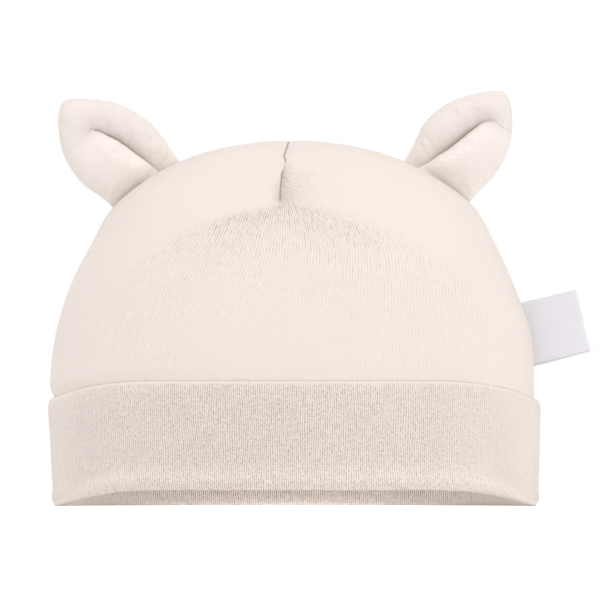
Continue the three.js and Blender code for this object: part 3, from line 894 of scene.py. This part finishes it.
    # Painted light along the sewn base, against the shade there.
    ear_painted_shading += 1.1 * bell(np.maximum(along[:, :1] * length - 2, 0), 6.0)
    values = {
        "seam": edge + 0.35,
        "relief": relief,
        "dart": np.full(len(points), NO_DART),
        "pale": np.append(ear_painted_shading.ravel(), [0, 0]),
    }
    return make_piece(name + "_pad", points, faces, {"stitch": corners}, values)


# --- Label ---

TAPE = 0.34
TAPE_GAP = 0.55
LABEL_SKEW = 0.5  # the tape is folded a little askew, so its back half shows below its front


def thick_sheet(name, grid, across, run, thickness):
    """A sheet from a grid of middle points. across and run are its flat coordinates in millimetres."""
    rows, columns = grid.shape[:2]
    du, dv = np.gradient(grid, axis=0), np.gradient(grid, axis=1)
    normal = unit(np.cross(du, dv))
    top, bottom = grid + normal * thickness / 2, grid - normal * thickness / 2
    points = np.concatenate([top.reshape(-1, 3), bottom.reshape(-1, 3)])
    size = rows * columns
    faces = []
    for r in range(rows - 1):
        for c in range(columns - 1):
            a, b = r * columns + c, r * columns + c + 1
            faces.append((a, b, b + columns, a + columns))
            faces.append((size + a, size + a + columns, size + b + columns, size + b))
    rim = ([r * columns for r in range(rows)]
           + [(rows - 1) * columns + c for c in range(1, columns)]
           + [r * columns + columns - 1 for r in range(rows - 2, -1, -1)]
           + [c for c in range(columns - 2, 0, -1)])
    for a, b in zip(rim, rim[1:] + rim[:1]):
        faces.append((a, b, size + b, size + a))
    faces = face_out(faces, points)
    flat = np.stack([across.ravel(), run.ravel()], -1)
    flat = np.concatenate([flat, flat])
    return make_piece(name, points, faces, {"tape": [flat[i] for f in faces for i in f]})


def build_label(tree):
    origin, axes = seat_on_seam(1, LABEL_SEAT, LABEL_TILT)
    radius = (TAPE_GAP + TAPE) / 2
    reach = LABEL_REACH - TAPE / 2
    straight = np.linspace(0, reach - radius, 40)
    front = [(-radius * (0.45 + 0.55 * smoothstep(s, 0, 9)), s) for s in straight]
    fold = [(-radius * math.cos(t), reach - radius + radius * math.sin(t))
            for t in np.linspace(0, math.pi, 15)[1:-1]]
    back = [(-y, s) for y, s in reversed(front)]
    path = np.array(front + fold + back)
    run = np.concatenate([[0], np.cumsum(np.linalg.norm(np.diff(path, axis=0), axis=1))])
    stations = np.linspace(-LABEL_WIDTH / 2, LABEL_WIDTH / 2, 31)
    grid = np.zeros((len(path), len(stations), 3))
    grid[..., 0] = stations[None]
    grid[..., 1] = path[:, :1]
    grid[..., 2] = path[:, 1:2]
    # The tape is a little springy: it bows across its width, and its fold is not quite even.
    out = grid[..., 2] / reach
    grid[..., 1] += 0.16 * out * np.cos(grid[..., 0] / LABEL_WIDTH * math.pi * 1.3 + 0.5)
    grid[..., 2] += 0.12 * out * np.sin(grid[..., 0] * 0.35)
    behind = smoothstep(np.arange(len(path)), len(front), len(path) - 1)
    grid[..., 0] -= (LABEL_SKEW * behind)[:, None]
    for station in range(len(stations)):
        start = Vector(origin + axes[0] * stations[station]) + Vector(axes[2]) * 30
        hit = tree.ray_cast(start, -Vector(axes[2]), 60)
        root = 30 - hit[3] - TUCK
        along = grid[:, station, 2]
        grid[:, station, 2] = root + along * (reach - root) / reach
    points = origin + grid @ axes
    across = np.broadcast_to(stations[None], grid.shape[:2])
    along = np.broadcast_to(run[:, None], grid.shape[:2])
    piece = thick_sheet("label_tape", points, across, along, TAPE)
    return piece, (LABEL_WIDTH * MM, float(run[-1]) * MM)


# --- Materials ---


STROKE_PITCH = 0.00064  # between the cut wales beside the dart, square to them, in metres
WALE_WANDER = 0.7  # how far a wale's line wanders, in wales
WALE_DRIFT = 3.0  # and how far over longer stretches
DART_LINE_WIDTH = (0.34, 0.25)  # millimetres below and above the dart's bend
SEAM_LINE_WIDTH = 0.28
SEAM_LINE_DARK = 0.36
FLOAT_PITCH = 0.22  # of the tape's lengthwise threads, in millimetres
RIB_PITCH = 0.31
TAPE_EDGE = 0.9
TAPE_BUMP = 0.00003  # in metres


def by_node(operation, turned=False):
    """A Python operator on Values that makes a Math node."""
    def made(*values):
        return values[0].tree.calc(operation, *(reversed(values) if turned else values))
    return made


class Value:
    """A node's output. Sums, products and so on of Values are made by Math nodes."""

    def __init__(self, tree, socket):
        self.tree = tree
        self.socket = socket

    __add__ = __radd__ = by_node("ADD")
    __mul__ = __rmul__ = by_node("MULTIPLY")
    __sub__ = by_node("SUBTRACT")
    __rsub__ = by_node("SUBTRACT", turned=True)
    __truediv__ = by_node("DIVIDE")
    __pow__ = by_node("POWER")
    __abs__ = by_node("ABSOLUTE")


class Tree:
    """Short calls for building one material's nodes."""

    def __init__(self, name):
        self.material = bpy.data.materials.new(name)
        self.material.use_nodes = True
        self.nodes = self.material.node_tree.nodes
        self.links = self.material.node_tree.links
        self.nodes.clear()

    def node(self, kind, inputs=None, out=0, **settings):
        """One output of a new node."""
        made = self.nodes.new("ShaderNode" + kind)
        for key, value in settings.items():
            setattr(made, key, value)
        for key, value in (inputs or {}).items():
            if isinstance(value, Value):
                self.links.new(value.socket, made.inputs[key])
            else:
                made.inputs[key].default_value = value
        return Value(self, made.outputs[out])

    def calc(self, operation, *values, clamp=False):
        return self.node("Math", dict(enumerate(values)), operation=operation, use_clamp=clamp)

    def ramp(self, value, low, high, from_value=0.0, to_value=1.0):
        ends = {"Value": value, "From Min": low, "From Max": high, "To Min": from_value, "To Max": to_value}
        return self.node("MapRange", ends, "Result", interpolation_type="SMOOTHSTEP")

    def bell(self, distance):
        return self.calc("EXPONENT", distance * distance * -1.0)

    def attribute(self, name):
        return self.node("Attribute", out="Fac", attribute_name=name)

    def noise(self, vector, scale, detail=2.0, roughness=0.5):
        made = {"Vector": vector, "Scale": scale, "Detail": detail, "Roughness": roughness}
        return self.node("TexNoise", made, "Fac")

    def chance(self, number):
        """A random value from 0 to 1 for each whole number."""
        return self.node("TexWhiteNoise", {"W": number}, "Value", noise_dimensions="1D")

    def chance_2d(self, vector):
        return self.node("TexWhiteNoise", {"Vector": vector}, "Value", noise_dimensions="2D")

    def scaled(self, vector, factors):
        return self.node("VectorMath", {0: vector, 1: factors}, operation="MULTIPLY")

    def parts(self, vector):
        made = self.node("SeparateXYZ", {"Vector": vector}).socket.node
        return [Value(self, socket) for socket in made.outputs]

    def mixed(self, share, first, second, blend="MIX"):
        inputs = {0: share, 6: first, 7: second}
        return self.node("Mix", inputs, 2, data_type="RGBA", blend_type=blend)

    def tinted(self, colour, shade):
        return self.mixed(1.0, colour, shade, "MULTIPLY")

    def ready(self, shader):
        """The material, with its shader on the output."""
        output = self.nodes.new("ShaderNodeOutputMaterial")
        self.links.new(shader.socket, output.inputs["Surface"])
        return self.material


def jersey(name, colour, deep, groove, dashes, run, painted_top_light, bump, see_through):
    """Fine cotton jersey. colour is its face and deep its shaded grooves; groove is how dark the
    furrows between the wales are, dashes how uneven they are, run how many courses an even stretch of
    a furrow has, painted_top_light how much painted highlight the wales' tops get where the knit shows,
    and bump the stitches' height in metres. The pale attribute is painted light and shade:
    above 0 it lightens the cloth, below 0 it darkens it."""
    t = Tree(name)
    stitch = t.node("UVMap", out="UV", uv_map="stitch")
    wale, course, _ = t.parts(stitch)
    relief = t.attribute("relief")
    # Yarns wander a little from their line.
    wander = t.noise(t.scaled(stitch, (0.25, 0.12, 0.0)), 1.0)
    drift = t.noise(t.scaled(stitch, (0.05, 0.025, 0.0)), 1.0, 1.0)
    wale = wale + (wander - 0.5) * WALE_WANDER + (drift - 0.5) * WALE_DRIFT
    off = abs(t.calc("FRACT", wale) - 0.5) * 2.0
    rib = t.calc("SQRT", 1.0 - off * off * 0.97)
    leg = 0.5 + t.calc("COSINE", (course - off * 0.55) * math.tau) * 0.5
    height = rib * (0.62 + leg * 0.38)
    # Furrows: darkest in uneven dashes a few stitches long.
    dash = t.ramp(t.noise(t.scaled(stitch, (0.8, 0.6 / run, 0.0)), 1.0, 3.0, 0.65), 0.36, 0.66)
    number = t.calc("FLOOR", wale + 0.5)
    stretch = t.calc("FLOOR", course * (1 / run) + t.chance(number) * 9.0)
    single = t.chance_2d(t.node("CombineXYZ", {"X": number, "Y": stretch}))
    uneven = (0.3 + dash) * (0.25 + single * 1.5)
    furrow = off**3.2 * ((1.0 - dashes) + uneven * (1.25 * dashes))
    gap = (1.0 - leg) * 0.35
    depth = t.calc("MULTIPLY", (furrow + gap * off) * relief, groove, clamp=True)
    # Speckle from single yarns, broad unevenness from handling, a painted highlight on the wales' tops
    # where the knit shows, and painted light and shade from a point attribute.
    yarn = t.chance_2d(t.node("VectorMath", {0: stitch}, operation="FLOOR"))
    place = t.node("TexCoord", out="Object")
    cloud = t.noise(place, 28.0, 3.0, 0.6)
    fuzz = t.noise(place, 2600.0, 2.0, 0.7)
    shade = 0.955 + cloud * 0.06 + (yarn - 0.5) * (relief * 0.09) + relief * painted_top_light
    shade = shade + t.attribute("pale") * 0.1 + (fuzz - 0.5) * 0.05
    # The dart and the seam: a thin shaded crease where the cloth is drawn in.
    high = t.parts(place)[2]
    from_dart = t.attribute("dart")
    dart = t.bell(abs(from_dart) / t.ramp(high, 0.104, 0.106, *DART_LINE_WIDTH))
    dart = dart * t.ramp(high, 0.0945, 0.097)
    notch = t.ramp(high, 0.1055, 0.1068) * t.ramp(high, 0.1082, 0.109, 1.0, 0.0)
    dart = dart * (t.ramp(high, 0.103, 0.109, 0.75, 0.8) + dash * 0.35) * (1.0 - notch * 0.75)
    seam = t.bell(abs(t.attribute("seam")) / SEAM_LINE_WIDTH)
    # Strokes: the cut wales run into the dart in a chevron.
    from_dart = from_dart * MM
    stroke = (high + abs(from_dart)) * (math.sqrt(0.5) / STROKE_PITCH)
    which = t.calc("FLOOR", stroke) + t.calc("GREATER_THAN", from_dart, 0.0) * 57.3
    cut = (1.0 - abs(t.calc("FRACT", stroke) - 0.5) * 2.0) ** 2.5 * (0.8 + t.chance(which) * 0.5)
    depth = t.calc("MAXIMUM", depth, cut * t.attribute("strokes"))
    crease = t.calc("MAXIMUM", dart, seam * SEAM_LINE_DARK)
    depth = t.calc("MAXIMUM", depth, crease, clamp=True)
    colour_out = t.tinted(t.mixed(depth, (*colour, 1.0), (*deep, 1.0)), shade)
    lifted = height * relief + fuzz * 0.25
    bumped = t.node("Bump", {"Height": lifted, "Distance": bump, "Strength": 1.0}, "Normal")
    face = t.node("BsdfPrincipled", {
        "Base Color": colour_out, "Roughness": 0.86 + fuzz * 0.12, "Normal": bumped,
        "Specular IOR Level": 0.2, "Sheen Weight": 0.12, "Sheen Roughness": 0.5,
    })
    through = t.node("BsdfTranslucent", {"Color": colour_out})
    return t.ready(t.node("MixShader", {0: see_through, 1: face, 2: through}))


def satin_tape(name, colour):
    """Woven satin tape: fine lengthwise floats, faint cross ribs and a firmer woven edge."""
    t = Tree(name)
    flat = t.node("UVMap", out="UV", uv_map="tape")
    across, run, _ = t.parts(flat)
    floats = t.calc("SINE", across * (math.tau / FLOAT_PITCH))
    ribs = t.calc("SINE", run * (math.tau / RIB_PITCH))
    border = t.ramp(LABEL_WIDTH / 2 - abs(across), 0.0, TAPE_EDGE, 1.0, 0.0)
    cloud = t.noise(t.scaled(flat, (0.12, 0.12, 0.0)), 1.0)
    thread = t.noise(t.scaled(flat, (4.0, 0.35, 0.0)), 1.0)
    height = floats * 0.35 + ribs * 0.3 + border * 1.2
    shade = 0.95 + cloud * 0.05 + (thread - 0.5) * 0.05 + ribs * 0.012 - border * 0.03
    colour_out = t.tinted((*colour, 1.0), shade)
    bumped = t.node("Bump", {"Height": height, "Distance": TAPE_BUMP, "Strength": 1.0}, "Normal")
    face = t.node("BsdfPrincipled", {
        "Base Color": colour_out, "Roughness": 0.5 + thread * 0.15, "Normal": bumped,
        "Specular IOR Level": 0.35, "Sheen Weight": 0.1,
    })
    through = t.node("BsdfTranslucent", {"Color": colour_out})
    return t.ready(t.node("MixShader", {0: 0.25, 1: face, 2: through}))


def light_table(name, glow, under_hat, by_rim):
    """The plain white table of a packshot, lit from below: most under the hat, to light its inside."""
    t = Tree(name)
    place = t.node("TexCoord", out="Object")
    centred = t.node("VectorMath", {0: place, 1: tuple(-MIDDLE * MM)}, operation="ADD")
    inside = t.scaled(centred, (1 / (CROWN_HALF_WIDTH * MM), 1 / (CROWN_HALF_DEPTH * MM), 0.0))
    spread = t.node("VectorMath", {0: inside}, "Value", operation="LENGTH")
    ring = t.ramp(spread, 0.8, 0.9) * t.ramp(spread, 0.95, 1.0, 1.0, 0.0)
    glowing = t.ramp(spread, 0.8, 1.0, under_hat, glow) + ring * by_rim
    shade = 0.93 + t.noise(place, 3.0) * 0.03
    return t.ready(t.node("BsdfPrincipled", {
        "Base Color": t.tinted((0.97, 0.97, 0.97, 1.0), shade), "Roughness": 0.9,
        "Specular IOR Level": 0.1, "Emission Color": (0.935, 0.975, 1.0, 1.0),
        "Emission Strength": glowing,
    }))


# --- The hat ---

crown_look = jersey("crown_jersey_look", (0.77, 0.712, 0.67), (0.33, 0.26, 0.22), groove=0.8,
                    dashes=0.8, run=2.0, painted_top_light=0.05, bump=0.00016, see_through=0.32)
cuff_look = jersey("cuff_jersey_look", (0.735, 0.678, 0.636), (0.31, 0.245, 0.2), groove=0.75,
                   dashes=0.95, run=0.9, painted_top_light=0.12, bump=0.00014, see_through=0.32)
ear_look = jersey("ear_jersey_look", (0.7, 0.64, 0.6), (0.32, 0.265, 0.23), groove=0.8,
                  dashes=0.7, run=2.0, painted_top_light=0.02, bump=0.00012, see_through=0.15)
tape_look = satin_tape("label_tape_look", (0.735, 0.717, 0.75))

crown = build_crown()
crown.data.materials.append(crown_look)
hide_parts("crown")

cuff = build_cuff()
cuff.data.materials.append(cuff_look)
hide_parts("cuff")

tree = crown_tree(crown)
for name, side, tilt, seat, length, width, overlap, trim in (
    ("ear_right", -1, 44.0, 0.995, 1.014, 1.014, PLEAT_OVERLAP, (0.02, 0.08)),
    ("ear_left", 1, 37.5, 1.005, 0.983, 0.98, 0.35 * PLEAT_OVERLAP, (0.11, 0.02)),
):
    ear = build_ear(name, side, tilt, seat, length, width, overlap, trim, tree)
    ear.data.materials.append(ear_look)
    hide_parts(name)

label, label_cut = build_label(tree)
label.data.materials.append(tape_look)
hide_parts("label")

# --- Floor, light and camera ---

floor_mesh = bpy.data.meshes.new("floor")
floor_mesh.from_pydata([(-6, -6, 0), (6, -6, 0), (6, 6, 0), (-6, 6, 0)], [], [(0, 1, 2, 3)])
floor = bpy.data.objects.new("floor", floor_mesh)
floor.data.materials.append(light_table("floor_look", 0.2, 1.54, 0.6))
bpy.context.scene.collection.objects.link(floor)

scene = bpy.context.scene
world = bpy.data.worlds.new("studio")
scene.world = world
world.use_nodes = True
world.node_tree.nodes["Background"].inputs["Color"].default_value = (1.0, 1.0, 1.0, 1.0)
world.node_tree.nodes["Background"].inputs["Strength"].default_value = 1.0


def soft_light(name, place, aim, size, power):
    data = bpy.data.lights.new(name, "AREA")
    data.shape = "SQUARE"
    data.size = size
    data.energy = power
    lamp = bpy.data.objects.new(name, data)
    lamp.location = place
    lamp.rotation_euler = (Vector(aim) - Vector(place)).to_track_quat("-Z", "Y").to_euler()
    scene.collection.objects.link(lamp)


soft_light("front", (1.55, -1.6, 0.6), (0, 0, 0.06), 1.6, 19.3)
soft_light("overhead", (-0.5, -0.5, 1.7), (0, 0, 0.06), 1.4, 14.0)

VIEW_PX = 600
PHOTO_MM_PER_PX = 0.3177
PHOTO_MIDDLE_PX = 294.5  # the hat's own middle, across the photograph
PHOTO_FLOOR_PX = 506.0
CAMERA_AWAY = 3000.0
CAMERA_HEIGHT = 12.0

camera_data = bpy.data.cameras.new("camera")
camera_data.sensor_fit = "HORIZONTAL"
camera_data.sensor_width = 36.0
frame_width = VIEW_PX * PHOTO_MM_PER_PX
aim_x = MIDDLE[0] + (VIEW_PX / 2 - PHOTO_MIDDLE_PX) * PHOTO_MM_PER_PX
aim_z = (PHOTO_FLOOR_PX - VIEW_PX / 2) * PHOTO_MM_PER_PX
rise = math.atan2(aim_z - CAMERA_HEIGHT, CAMERA_AWAY)
camera_data.lens = 36.0 * CAMERA_AWAY / math.cos(rise) / frame_width
camera = bpy.data.objects.new("camera", camera_data)
camera.location = (aim_x * MM, -CAMERA_AWAY * MM, CAMERA_HEIGHT * MM)
camera.rotation_euler = (math.pi / 2 + rise, 0.0, 0.0)
scene.collection.objects.link(camera)
scene.camera = camera

scene.view_settings.view_transform = "Standard"
scene.view_settings.look = "None"
scene.cycles.max_bounces = 20
scene.cycles.diffuse_bounces = 10
scene.cycles.transmission_bounces = 16
